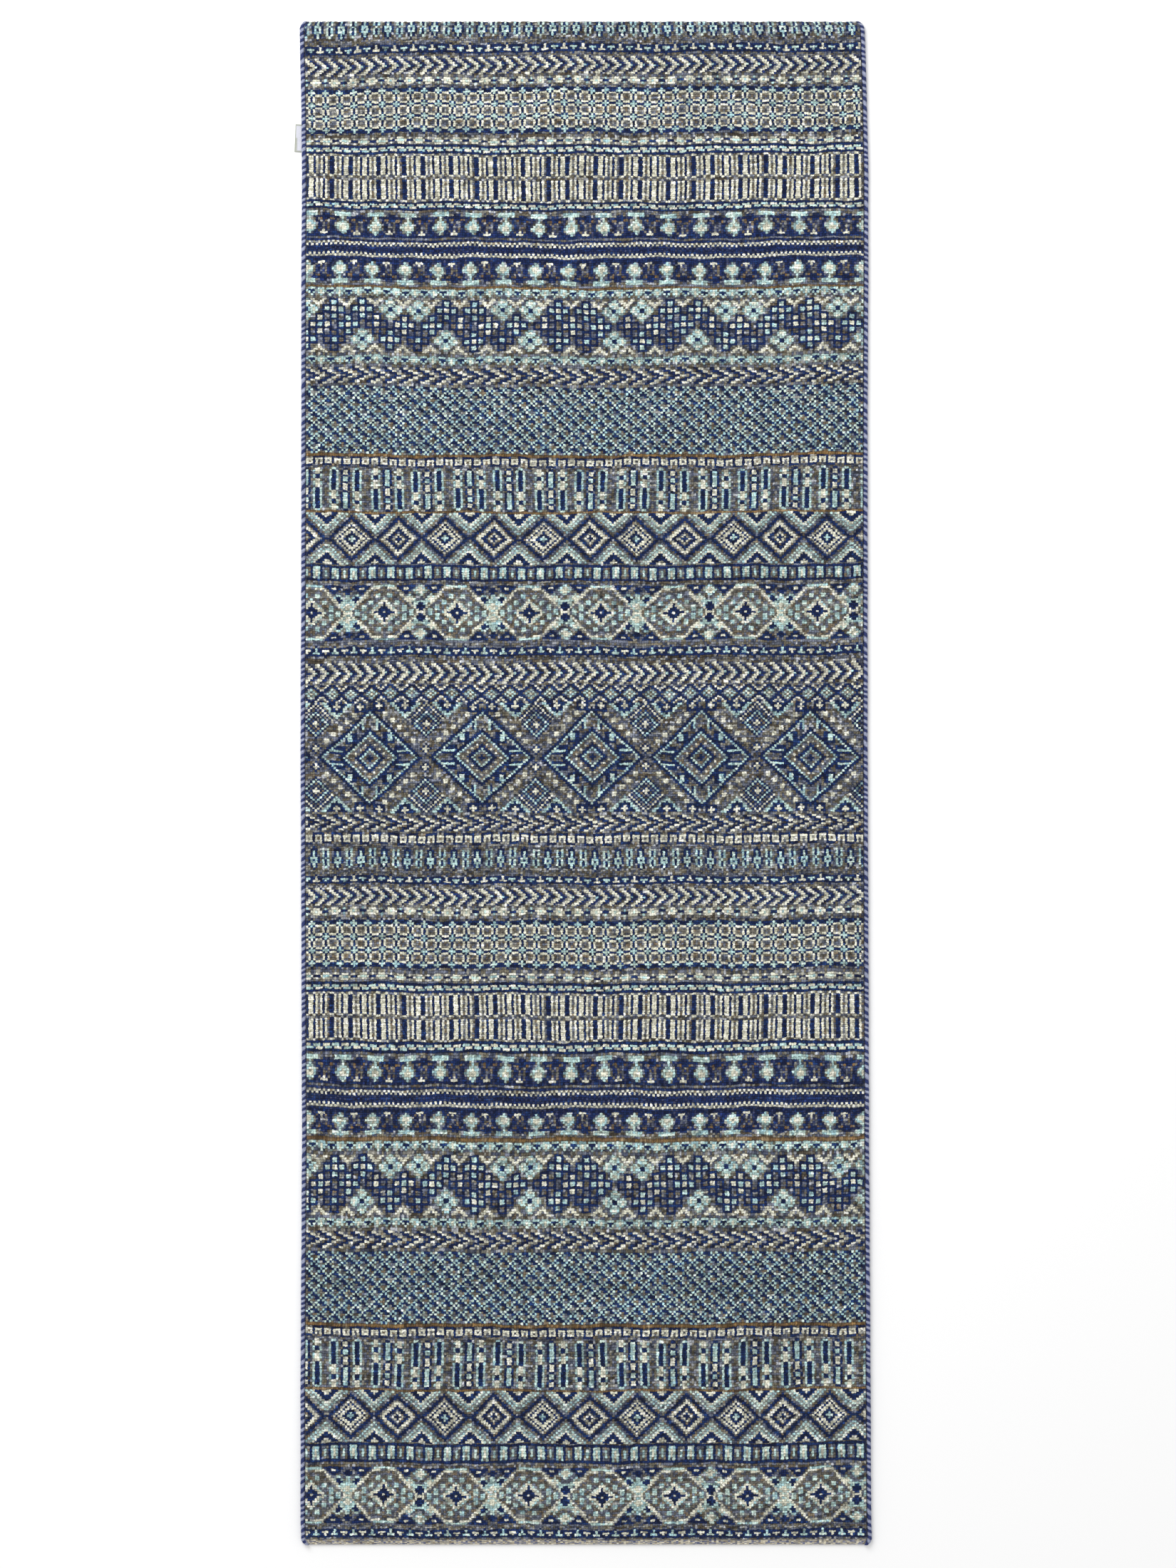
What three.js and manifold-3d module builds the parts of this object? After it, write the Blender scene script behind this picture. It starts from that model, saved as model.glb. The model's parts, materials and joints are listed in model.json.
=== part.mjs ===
// Runner rug: knotted wool pile on a woven foundation, cord edges bound with overcast yarn,
// flat-woven ends turned under and sewn down, and a blank folded tape label at one side.
// Millimetres, +Z up. The rug lies on z = 0 with its length along Y, and the origin is the
// middle of its underside. It folds pile inwards across two lines, into a middle and two ends.
import * as THREE from "three";
import { mergeVertices } from "three/addons/utils/BufferGeometryUtils.js";
import Module from "manifold-3d";

// Driving dimensions.
const rugLength = 2150;
const rugWidth = 800;
const foundationThickness = 3;
const pileHeight = 8;
const pileShoulder = 3; // width of the worn slope along the pile's long sides
const pileShoulderDrop = 1.6;
const cordRadius = 2;
const overcastWall = 1.2;
const hemThickness = 1.5;
const hemTurnUnder = 28;
const threadWidth = 0.9;
const threadHeight = 0.5;
const threadAboveFloor = 0.15;
const stitchInset = 4; // from a sewn edge to the middle of its stitching
const labelLength = 39;
const labelReach = 10;
const labelTabWidth = 14;
const labelThickness = 1;
const labelFromEnd = 164; // from the rug's end to the label's middle
const labelHingeGap = 0.8; // from the rug's side to the line where the label turns
const foldedEndsGap = 18; // between the two ends when both are folded in
const touchGap = 0.3; // between pieces that touch
const cordSides = 12;

// The pile's bands, each named for its main motif, from the rug's +Y end to its -Y end.
const pileBands = {
  top: ["pile_top_rings", "pile_top_lattice"],
  middle: ["pile_speckle", "pile_octagons", "pile_diamonds", "pile_tallies"],
  bottom: ["pile_bottom_speckle", "pile_bottom_octagons"],
};

// Sizes that follow from them.
const overcastRadius = cordRadius + touchGap + overcastWall;
const selvedgeX = rugWidth / 2 - overcastRadius;
const selvedgeZ = labelThickness + touchGap + overcastRadius;
const fieldHalfWidth = rugWidth / 2 - 2 * overcastRadius - touchGap;
const endY = rugLength / 2;
const foldY = (endY + foldedEndsGap / 2) / 2;
const fieldEndY = endY - hemThickness - touchGap;
const pileBottom = foundationThickness + touchGap;
const pileTop = foundationThickness + pileHeight + touchGap;
const hemInnerY = endY - hemTurnUnder;
const grooveHalf = threadWidth / 2 + touchGap;
const grooveTop = threadAboveFloor + threadHeight + touchGap;
const labelY = endY - labelFromEnd;
const labelHingeX = -(rugWidth / 2 + labelHingeGap);
const labelTabInnerX = -rugWidth / 2 + labelTabWidth;
const labelStitchX = labelTabInnerX - stitchInset;

const colours = {
  pile: 0x55658f,
  foundation: 0xb9b09a,
  cord: 0xd6cdb6,
  overcast: 0x3a4470,
  hem: 0xc9bfa6,
  thread: 0xded6c2,
  label: 0xc7c8cc,
};

const wasm = await Module();
wasm.setup();

const group = new THREE.Group();

function addMesh(name, geometry, colour) {
  const material = new THREE.MeshStandardMaterial({ color: colour, roughness: 0.95, metalness: 0 });
  const mesh = new THREE.Mesh(geometry, material);
  mesh.name = name;
  group.add(mesh);
}

function outline(points) {
  return new THREE.Shape(points.map(([x, y]) => new THREE.Vector2(x, y)));
}

// A section drawn in X and Z, run along Y from y0 to y1.
function alongY(section, y0, y1) {
  const turn = new THREE.Matrix4().makeBasis(
    new THREE.Vector3(1, 0, 0),
    new THREE.Vector3(0, 0, 1),
    new THREE.Vector3(0, -1, 0),
  );
  const length = Math.abs(y1 - y0);
  const solid = new THREE.ExtrudeGeometry(section, {
    depth: length,
    bevelEnabled: false,
    curveSegments: cordSides,
  });
  return solid.applyMatrix4(turn).translate(0, Math.max(y0, y1), 0);
}

// A section drawn in Y and Z, run along X across halfWidth each side of the middle.
function alongX(section, halfWidth) {
  const turn = new THREE.Matrix4().makeBasis(
    new THREE.Vector3(0, 1, 0),
    new THREE.Vector3(0, 0, 1),
    new THREE.Vector3(1, 0, 0),
  );
  const solid = new THREE.ExtrudeGeometry(section, { depth: 2 * halfWidth, bevelEnabled: false });
  return solid.applyMatrix4(turn).translate(-halfWidth, 0, 0);
}

function toManifold(geometry) {
  const bare = geometry.clone();
  bare.deleteAttribute("normal");
  bare.deleteAttribute("uv");
  const merged = mergeVertices(bare, 1e-4);
  return new wasm.Manifold(
    new wasm.Mesh({
      numProp: 3,
      vertProperties: merged.attributes.position.array,
      triVerts: new Uint32Array(merged.index.array),
    }),
  );
}

function cut(geometry, tool) {
  const made = toManifold(geometry).subtract(toManifold(tool)).getMesh();
  const result = new THREE.BufferGeometry();
  result.setAttribute("position", new THREE.BufferAttribute(made.vertProperties, 3));
  result.setIndex(new THREE.BufferAttribute(made.triVerts, 1));
  return result;
}

// The three lengths of the rug: side is +1 at the +Y end, -1 at the -Y end and 0 in the middle.
// start is the edge at or nearest the middle of the rug, and end the one furthest from it.
const panels = [
  { name: "middle", side: 0, start: -foldY + touchGap / 2, end: foldY - touchGap / 2 },
  { name: "top", side: 1, start: foldY + touchGap / 2, end: endY },
  { name: "bottom", side: -1, start: -foldY - touchGap / 2, end: -endY },
];

// The woven foundation. At each end it is thinner underneath, where the hem is turned under it.
function foundationGeometry(panel) {
  if (panel.side === 0) {
    const length = panel.end - panel.start;
    const block = new THREE.BoxGeometry(2 * fieldHalfWidth, length, foundationThickness);
    return block.translate(0, 0, foundationThickness / 2);
  }
  const stepY = panel.side * (hemInnerY - touchGap);
  const outerY = panel.side * fieldEndY;
  const stepZ = hemThickness + touchGap;
  const section = outline([
    [panel.start, 0],
    [stepY, 0],
    [stepY, stepZ],
    [outerY, stepZ],
    [outerY, foundationThickness],
    [panel.start, foundationThickness],
  ]);
  return alongX(section, fieldHalfWidth);
}

// The label's sewn tab lies in a shallow pocket under the foundation.
function labelPocket() {
  const width = labelTabInnerX + touchGap + fieldHalfWidth + overcastRadius;
  const depth = labelThickness + touchGap;
  const pocket = new THREE.BoxGeometry(width, labelLength + 2 * touchGap, 2 * depth);
  return pocket.translate(labelTabInnerX + touchGap - width / 2, labelY, 0);
}

for (const panel of panels) {
  const whole = foundationGeometry(panel);
  const geometry = panel.name === "top" ? cut(whole, labelPocket()) : whole;
  addMesh("foundation_" + panel.name, geometry, colours.foundation);
}

// The knotted pile: one block for each band, with its long sides worn to a slope.
const pileSection = outline([
  [-fieldHalfWidth, pileBottom],
  [fieldHalfWidth, pileBottom],
  [fieldHalfWidth, pileTop - pileShoulderDrop],
  [fieldHalfWidth - pileShoulder, pileTop],
  [-fieldHalfWidth + pileShoulder, pileTop],
  [-fieldHalfWidth, pileTop - pileShoulderDrop],
]);

for (const panel of panels) {
  const reach = panel.side === 0 ? panel.end : panel.side * fieldEndY;
  const high = Math.max(panel.start, reach);
  const low = Math.min(panel.start, reach);
  const names = pileBands[panel.name];
  const bandLength = (high - low) / names.length;
  names.forEach((name, i) => {
    const upper = high - i * bandLength - (i > 0 ? touchGap / 2 : 0);
    const lower = high - (i + 1) * bandLength + (i < names.length - 1 ? touchGap / 2 : 0);
    addMesh(name, alongY(pileSection, lower, upper), colours.pile);
  });
}

// The side edges: a cord along each side, inside a sleeve of overcast yarn.
for (const [sideName, x] of [["left", -selvedgeX], ["right", selvedgeX]]) {
  const cord = new THREE.Shape();
  cord.absarc(x, selvedgeZ, cordRadius, 0, 2 * Math.PI);
  const sleeve = new THREE.Shape();
  sleeve.absarc(x, selvedgeZ, overcastRadius, 0, 2 * Math.PI);
  const bore = new THREE.Path();
  bore.absarc(x, selvedgeZ, cordRadius + touchGap, 0, 2 * Math.PI);
  sleeve.holes.push(bore);
  for (const panel of panels) {
    const name = sideName + "_" + panel.name;
    addMesh("edge_cord_" + name, alongY(cord, panel.start, panel.end), colours.cord);
    addMesh("overcasting_" + name, alongY(sleeve, panel.start, panel.end), colours.overcast);
  }
}

// The flat-woven hems: each covers the rug's end and runs back under it, with a groove below
// for the row of stitches that holds it.
for (const panel of panels.slice(1)) {
  const stitchY = hemInnerY + stitchInset;
  const hem = outline(
    [
      [hemInnerY, 0],
      [stitchY - grooveHalf, 0],
      [stitchY - grooveHalf, grooveTop],
      [stitchY + grooveHalf, grooveTop],
      [stitchY + grooveHalf, 0],
      [endY, 0],
      [endY, foundationThickness],
      [endY - hemThickness, foundationThickness],
      [endY - hemThickness, hemThickness],
      [hemInnerY, hemThickness],
    ].map(([y, z]) => [panel.side * y, z]),
  );
  addMesh("hem_" + panel.name, alongX(hem, fieldHalfWidth), colours.hem);
  const stitches = new THREE.BoxGeometry(2 * fieldHalfWidth, threadWidth, threadHeight);
  stitches.translate(0, panel.side * stitchY, threadAboveFloor + threadHeight / 2);
  addMesh("hem_stitching_" + panel.name, stitches, colours.thread);
}

// The label: a tab sewn under the left side, and a free flap that turns up beside the edge.
const tab = outline([
  [-rugWidth / 2 - touchGap, 0],
  [labelStitchX - grooveHalf, 0],
  [labelStitchX - grooveHalf, grooveTop - touchGap],
  [labelStitchX + grooveHalf, grooveTop - touchGap],
  [labelStitchX + grooveHalf, 0],
  [labelTabInnerX, 0],
  [labelTabInnerX, labelThickness],
  [-rugWidth / 2 - touchGap, labelThickness],
]);
const labelStart = labelY - labelLength / 2;
const labelEnd = labelY + labelLength / 2;
addMesh("label_tab", alongY(tab, labelStart, labelEnd), colours.label);

const labelThread = new THREE.BoxGeometry(
  threadWidth,
  labelLength - stitchInset,
  threadHeight - touchGap,
);
labelThread.translate(labelStitchX, labelY, threadAboveFloor + (threadHeight - touchGap) / 2);
addMesh("label_stitches", labelThread, colours.thread);

const flap = new THREE.Shape();
const flapRound = labelThickness / 2;
flap.moveTo(labelHingeX - touchGap, 0);
flap.lineTo(labelHingeX - touchGap, labelThickness);
flap.lineTo(-rugWidth / 2 - labelReach + flapRound, labelThickness);
flap.absarc(
  -rugWidth / 2 - labelReach + flapRound,
  flapRound,
  flapRound,
  Math.PI / 2,
  (3 * Math.PI) / 2,
);
addMesh("label_flap", alongY(flap, labelStart, labelEnd), colours.label);

export default group;
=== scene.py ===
import json
import math

import bmesh
import bpy
import numpy as np
from mathutils import Matrix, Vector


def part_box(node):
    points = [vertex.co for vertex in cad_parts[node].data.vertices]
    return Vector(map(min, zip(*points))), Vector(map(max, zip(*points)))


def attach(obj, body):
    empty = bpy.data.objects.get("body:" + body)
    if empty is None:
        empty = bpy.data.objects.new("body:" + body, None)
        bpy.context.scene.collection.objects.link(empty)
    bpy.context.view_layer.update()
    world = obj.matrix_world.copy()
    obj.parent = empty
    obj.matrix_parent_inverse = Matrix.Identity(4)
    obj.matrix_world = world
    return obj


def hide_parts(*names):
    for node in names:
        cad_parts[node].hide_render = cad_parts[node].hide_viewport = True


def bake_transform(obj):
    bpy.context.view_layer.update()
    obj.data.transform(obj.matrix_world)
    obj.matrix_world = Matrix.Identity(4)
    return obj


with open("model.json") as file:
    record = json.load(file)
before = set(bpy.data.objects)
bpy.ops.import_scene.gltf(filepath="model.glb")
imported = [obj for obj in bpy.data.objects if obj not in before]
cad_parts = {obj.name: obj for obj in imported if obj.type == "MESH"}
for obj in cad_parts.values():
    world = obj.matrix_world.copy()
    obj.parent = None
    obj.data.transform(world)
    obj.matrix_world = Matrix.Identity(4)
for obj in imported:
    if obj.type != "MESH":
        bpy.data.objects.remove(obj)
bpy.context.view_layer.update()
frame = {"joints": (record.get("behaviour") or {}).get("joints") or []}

mm = 0.001
touchGap = 0.3 * mm  # between pieces that touch
draws = np.random.default_rng(47)

print("camera, floor and light")

stage = {
    "cameraHeight": 5.231,
    "cameraAcross": 0.004,
    "cameraAlong": -0.001,
    "lens": 85,
    "floorSize": 30.0,
    "floorShade": 0.96,
    "skyStrength": 0.75,
    "lampPower": 115,
    "lampSize": 3.0,
    "lampPlace": (-1.5, 2.3, 3.2),
}

cameraData = bpy.data.cameras.new("camera")
cameraData.lens = stage["lens"]
cameraData.sensor_width = 36
cameraData.clip_end = 60
camera = bpy.data.objects.new("camera", cameraData)
camera.location = (stage["cameraAcross"], stage["cameraAlong"], stage["cameraHeight"])
bpy.context.scene.collection.objects.link(camera)
bpy.context.scene.camera = camera
bpy.context.scene.view_settings.view_transform = "Standard"

sky = bpy.data.worlds.new("studio")
sky.use_nodes = True
sky.node_tree.nodes["Background"].inputs["Color"].default_value = (1, 1, 1, 1)
sky.node_tree.nodes["Background"].inputs["Strength"].default_value = stage["skyStrength"]
bpy.context.scene.world = sky

lampData = bpy.data.lights.new("softbox", "AREA")
lampData.energy = stage["lampPower"]
lampData.size = stage["lampSize"]
lamp = bpy.data.objects.new("softbox", lampData)
lamp.location = stage["lampPlace"]
lamp.rotation_mode = "QUATERNION"
lamp.rotation_quaternion = lamp.location.to_track_quat("Z", "Y")
bpy.context.scene.collection.objects.link(lamp)


def linear(hexColour):
    parts = [int(hexColour[i:i + 2], 16) / 255 for i in (0, 2, 4)]
    return np.array([((p + 0.055) / 1.055) ** 2.4 if p > 0.04045 else p / 12.92 for p in parts])


def addObject(name, bm):
    mesh = bpy.data.meshes.new(name)
    bm.to_mesh(mesh)
    bm.free()
    made = bpy.data.objects.new(name, mesh)
    bpy.context.scene.collection.objects.link(made)
    return made


def setInputs(node, values):
    for key, value in values.items():
        node.inputs[key].default_value = value


def floorPlane():
    bm = bmesh.new()
    bmesh.ops.create_grid(bm, x_segments=1, y_segments=1, size=stage["floorSize"] / 2)
    bmesh.ops.translate(bm, verts=bm.verts, vec=(0, 0, -0.0002))
    plane = addObject("floor", bm)
    material = bpy.data.materials.new("floorPaper")
    material.use_nodes = True
    shader = material.node_tree.nodes["Principled BSDF"]
    shade = stage["floorShade"]
    base = (shade, shade, shade, 1)
    setInputs(shader, {"Base Color": base, "Roughness": 0.9, "Specular IOR Level": 0.1})
    plane.data.materials.append(material)


floorPlane()

print("sizes from the frame")


def corner(node, end):
    return np.array(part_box(node)[end])


pileLow = corner("pile_octagons", 0)
pileHigh = corner("pile_octagons", 1)
fieldHalf = pileHigh[0]  # half the width of the knotted field
foldY = corner("foundation_middle", 1)[1] + touchGap / 2
rugEnd = corner("hem_top", 1)[1]
foundationTop = corner("foundation_middle", 1)[2]
hemInner = corner("hem_top", 0)[1]
hemThick = 1.5 * mm
edgeLow = corner("overcasting_right_middle", 0)
edgeHigh = corner("overcasting_right_middle", 1)
edgeX = (edgeLow[0] + edgeHigh[0]) / 2
edgeZ = (edgeLow[2] + edgeHigh[2]) / 2
edgeRadius = (edgeHigh[0] - edgeLow[0]) / 2
cordRadius = (corner("edge_cord_right_middle", 1)[2] - corner("edge_cord_right_middle", 0)[2]) / 2

# How the hand-made rug strays from a true rectangle, in millimetres: at places along the rug, how
# far the left and right edges lie out, and how far the rows drift at the left and at the right.
# Each ripple of the rows: its height, its waves across, and how much and how fast it swings along.
lie = {
    "along": [-1075, -1040, -850, -500, -200, 60, 300, 540, 700, 860, 960, 1060, 1075],
    "left": [1, 2, 2, 0, 1, 2, 1, 1, 1, 0, 1, 3, 3],
    "right": [5, 4, 3, 1, 0, -1, -1, -1, 0, 0, -2, -5, -7],
    "driftLeft": [1, 2, 3, 3, 2, -1, 1, 3, 4, 3, -4, -5, -5],
    "driftRight": [2, 3, 5, 3, 3, 1, 4, 6, 5, 5, 2, 1, 1],
    "ripples": [(1.0, 29, 2.5, 8), (0.6, 71, 3, 17), (0.35, 163, 4, 31)],
    "rippleFade": 25,
    "sway": 0.7,
    "cornerTuck": 4.5,
    "cornerLength": 9,
}


def strays(name, y):
    return np.interp(y / mm, lie["along"], lie[name]) * mm


def laid(x, y):
    # where a point of the true rectangle really lies on the floor
    share = x / fieldHalf
    push = np.where(share > 0, strays("right", y) * share, strays("left", y) * share)
    bow = np.where(share > 0, strays("driftRight", y), strays("driftLeft", y)) * share ** 2
    fade = np.clip((rugEnd - np.abs(y)) / (lie["rippleFade"] * mm), 0, 1)
    ripple = 0
    for height, waves, swing, pace in lie["ripples"]:
        ripple = ripple + height * mm * np.sin(x * waves + swing * np.sin(y * pace))
    push = push + lie["sway"] * mm * np.sin(y * 43 + 2.5 * np.sin(x * 9)) * (1 - share ** 8)
    toEnd = np.clip((np.abs(y) - rugEnd) / (lie["cornerLength"] * mm) + 1, 0, 1) ** 2
    tuck = np.sign(x) * lie["cornerTuck"] * mm * toEnd * np.clip(np.abs(share), 0, 1.02) ** 10
    return x + push - tuck, y + (bow + ripple) * fade


print("charts of the knotted bands")

knots = {"across": 239}
knotPitch = 2 * fieldHalf / knots["across"]
cols = np.arange(knots["across"]) - knots["across"] // 2

# The codes of a chart: N navy, D dark blue-grey, C cream, W warm cream, I ice blue, T taupe,
# G light grey, B brown and . the grey ground.


def tiled(lines, phase, column=0):
    tile = np.array([list(line) for line in lines])
    return tile[:, (cols - phase + column) % tile.shape[1]]


def blank(rows, code="."):
    return np.full((rows, knots["across"]), code)


def centred(phase, period):
    return (cols - phase + period / 2) % period - period / 2


def awayFrom(phase, period):
    # whole knots to the nearest of a run of middles
    turns = np.round((cols - phase) / period)
    return np.abs(cols - np.round(phase + turns * period))


def figures(rows, turn):
    lines = ["..N.......", ".NNN..I.I.", ".NIN..INI.", ".NIN..INI.", ".NIN..INI.", "NIIIN..I..",
             "NININ.INI.", "NIIIN.INI.", ".NIN..INI.", ".NIN...I..", "..N......."]
    return tiled(lines[-rows:], [-4, -6][turn], 2)


def triangles(rows, turn):
    lines = ["....N...", "NNNNCNNN", "IINNCNNI", "INNCCCNN", "NNNNNNNN", "N......."]
    return tiled(lines, [-1, -3][turn], 4)


def trianglesIce(rows, turn):
    lines = ["....N...", "NNNNINNN", "CCNNINNC", "CNNIIINN", "NNNNNNNN", "N......."]
    return tiled(lines, -3, 4)


def chevrons(rows, turn):
    made = blank(rows)
    for row, shift in enumerate([0, 1, 2, 3, 4, 3, 2, 1, 0]):
        line = "CINN." if shift == 4 else "CCND." if shift else "CCD.."
        made[row] = tiled([line], shift)[0]
    return made


def dashesCream(rows, turn):
    return tiled([".CCC.GIG", "CCICCNNN", ".CCC.GIG"], -3, 2)


def dashesIce(rows, turn):
    return tiled([".CCC.GCG", "CIIICNNN", ".CCC.GCG"], 1, 2)


def rings(rows, turn):
    ring = ["IINNNI", "INWWWN", "NWTTTW", "NWTTTW", "NWTTTW", "INWWWN"]
    lines = ["N.....", "INNNNN"] + 3 * ring + [ring[0], "INNNNN", "N....."]
    return tiled(lines, -3)


def parallelograms(rows, turn):
    return tiled(["NNNNNNNN", "CCCNIIIN", "NIIINCCC", "NNNNNNNN"], 0)


def tally(rows, turn):
    line = "NWTWNNWWNWTWNWTNNWTWNWWNNWTWNWW"
    ends = line.replace("W", ".").replace("T", ".").replace("N", "C")
    return tiled([ends] + 9 * [line] + [ends, "." * len(line)] + 9 * [line] + [ends], 0)


flowerLines = [
    "..............", "IIIIIII.......", "IIIIIII..NDN..", "DN.I.NDNNNNNND",
    "D..I..NTBNNNBT", "D.III.NDTD.TDN", ".IICII.NDTDTDN", "IICCCI.DN.T.ND",
    ".ICCCI.NDTDTDN", "D.IIIDNTDCDTDN", "NDDI.NDNCCCNDN", "NDNNNNDNNNNNDN",
]


def flowers(rows, turn):
    return tiled(flowerLines, -6, 3)


def flowersTurned(rows, turn):
    return tiled(flowerLines[::-1], -7, 3)


def stripes(rows, turn):
    return tiled(["..", "DN", "CT", "NC", "DN", "ND", "DN", "CN", "GC", "ND"], 0)


def dots(rows, turn):
    return tiled([".III.III", "IICIINNN", ".ICI.INI", "..I...I."], -1, 2)


# Each flower of five squares: the colour of its heart, then of its arms up, down, left and right.
# Kind D is a larger one of four petals. Each row of flowers: its row, then the first of each kind
# by its knot from the middle, and how many knots it repeats after.
flowerKinds = {"A": "CIIII", "B": "ICCCC", "C": "CCTTT", "K": "ITTTT"}
flowerRows = [(5, {-12: "A", 0: "A", 12: "D", 24: "D"}, 48), (12, {-6: "B", 6: "A", 18: "C"}, 36),
              (19, {-12: "A", 0: "K", 12: "D"}, 36)]


def latticeFlower(made, row, col, kind):
    middle = knots["across"] // 2

    def patch(r, c, code, rim):
        for rr in range(r - 1 - rim, r + 1 + rim):
            for cc in range(c - rim, c + 2 + rim):
                if 0 <= rr < made.shape[0] and 0 <= cc + middle < knots["across"]:
                    made[rr, cc + middle] = code

    def petal(r, c, code, reach):
        for rr in range(made.shape[0]):
            near = np.abs(cols - c) + 1.1 * abs(rr - r) <= reach
            made[rr][near] = code

    places = [(0, 0), (-3, 0), (3, 0), (0, -3), (0, 3)]
    if kind == "D":
        for code, reach in (("I", 2.7), ("C", 1.0)):
            for dr, dc in places[1:]:
                petal(row - 0.5 + 1.1 * dr, col + 0.5 + 1.1 * dc, code, reach)
        patch(row, col, "N", 0)
        return
    for dr, dc in places:
        patch(row + dr, col + dc, "N", 1)
    for (dr, dc), code in zip(places, flowerKinds[kind]):
        patch(row + dr, col + dc, code, 0)


def lattice(rows, turn):
    made = blank(rows)
    between = centred(6, 12)
    for row in range(4):  # the small triangles that fill the upper and lower edges
        for at in (row, rows - 1 - row):
            made[at][np.abs(between) <= 3 - row] = "C"
            made[at][np.abs(between) <= 1 - row] = "T"
    for row, kinds, period in flowerRows:
        for start, kind in kinds.items():
            for col in range(start - 4 * period, cols[-1] + period, period):
                latticeFlower(made, row, col, kind)
    return made


def flatChevrons(rows, turn):
    made = blank(rows)
    for row, shift in enumerate([0, 2, 4, 6, 4, 2, 0]):
        line = "CC...NN" if row in (0, 6) else "CCT.NNN"
        made[row] = tiled([line], shift)[0]
    return made


def speckle(rows, turn):
    # a net of dark lines, thicker where they cross and along the ones that run down to the right
    made = blank(rows)
    for row in range(rows):
        made[row] = "N"
        for shift in (0, 3):
            down = (row - 2 - shift + 3) % 6 - 3
            aside = centred(-2 + shift, 6)
            near = np.abs(aside) + abs(down)
            thick = (near == 2) & (down < 0) & (aside >= 0)
            made[row][(near == 2) & ~thick] = "I"
            made[row][near <= 1] = "T"
    return made


def battlement(rows, turn):
    return tiled(["NNNNNT.T", "NCCCNCCC", "NCTCNCTC", "NCTCNCCC", "T.T.NNNN"], -2, 2)


def totems(rows, turn):
    side = [".CC.", "ICCI", ".CC."] + 2 * ["INNI"] + [".CC.", "ICCI", "ICCI", ".CC."]
    side += 9 * ["INNI"] + [".II."]
    middle = [".NN."] + 7 * ["NIIN"] + [".NN."] + 3 * ["NCCN"] + [".NN."] + 2 * ["NIIN"]
    middle += [".NN."] + 2 * ["NCCN"] + [".NN."]
    group = [s + "." + m + "." + s + "..." for s, m in zip(side, middle)]
    return tiled([a + b + "." for a, b in zip(group, group[::-1])], -21)


def ringed(distance, codes):
    # a code for each distance from a middle: the text's letter at that distance, the last one beyond
    letters = np.array(list(codes))
    return letters[np.clip(np.round(distance).astype(int), 0, len(codes) - 1)]


def chainedDiamonds(rows, turn):
    made = blank(rows)
    down = np.abs(np.arange(rows) - 11)
    for row in range(rows):
        dark = awayFrom(2, 41) + down[row]
        pale = awayFrom(22.5, 41) + down[row]
        darkRow = ringed(dark, "NNCTNNCCTNN.TIGICNNNCCC")
        paleRow = ringed(pale, "IINNCCNCTNN.TIGICNNNCCC")
        made[row] = np.where(dark < pale, darkRow, paleRow)
    return made


def bars(rows, turn):
    lines = ["NNNNNNNN", "NIIINTTT"] + 3 * ["NICINTIT"] + ["NITINTTT", "NNNNNNNN"]
    return tiled(lines, -3, 2)


def medallions(rows, turn):
    made = blank(rows)
    phase = 7
    period = 31
    ax = np.abs(centred(phase, period))
    hx = np.abs(centred(phase + period / 2, period))
    kind = ((cols - phase) // period).astype(int) % 2
    for row in range(rows):
        ad = abs(row - 12)
        line = np.full(knots["across"], ".")
        reach = ax + 0.87 * ad
        # the corners between two medallions, drawn two ways in turn
        line[np.abs(hx - 6) <= ad - 8.5] = "N"
        line[(np.abs(hx - 6) < 0.6) & (ad == 11)] = "C"
        one = kind == 0
        line[one & (hx + abs(ad - 3) <= 3.6)] = "I"
        line[one & (hx + abs(ad - 3) <= 2)] = "C"
        line[one & (hx + abs(ad - 7.5) <= 1.6)] = "I"
        line[one & (hx + abs(ad - 10.3) <= 2)] = "N"
        line[one & (np.abs(hx - 4) + abs(ad - 5.7) <= 2.9)] = "I"
        line[one & (np.abs(hx - 4) + abs(ad - 5.7) <= 1.9)] = "N"
        two = kind == 1
        line[two & (hx + abs(ad - 10) <= 3.1)] = "I"
        line[two & (hx + abs(ad - 10) <= 1.9)] = "C"
        line[two & (np.abs(hx - 4.5) + abs(ad - 6) <= 2.9)] = "I"
        line[two & (np.abs(hx - 4.5) + abs(ad - 6) <= 1.6)] = "C"
        line[two & (hx <= 2.6) & (ad <= 5)] = "I"
        line[two & (hx <= 0.6) & (ad <= 4)] = "N"
        line[two & (hx <= 1.6) & (abs(ad - 2.4) <= 1)] = "N"
        inside = (reach <= 15.4) & (ad <= 12)
        line[inside] = "T"
        for dx, dy in ((2.7, 7.7), (5.6, 4.7), (8.8, 2), (11.5, 0)):
            line[inside & (np.abs(ax - dx) <= 1) & (abs(ad - dy) <= 1)] = "I"
        line[inside & (ax + ad <= 6.5)] = "I"
        line[inside & ((ax + ad <= 5.2) | ((ax <= 5.2) & (ad <= 1)) | ((ax <= 1.2) & (ad <= 5)))] = "C"
        line[inside & (((ax <= 4) & (ad == 0)) | ((ax == 0) & (ad <= 4)) | (ax + ad <= 3))] = "N"
        line[(ax < 0.6) & (ad == 0)] = "C"
        line[inside & (reach > 13.9)] = "C"
        line[inside & (ad >= 11) & (reach > 11.5)] = "C"
        line[inside & (ad == 12)] = "I"
        made[row] = line
    return made


def smallDiamonds(rows, turn):
    made = blank(rows)
    for row in range(rows):
        away = awayFrom(2.3, 8.5) + abs(row - 4)
        made[row] = ringed(away, "CTITNNCTN")
        made[row][(away == 3) & ((cols + row) % 2 == 0)] = "T"
    return made


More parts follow.
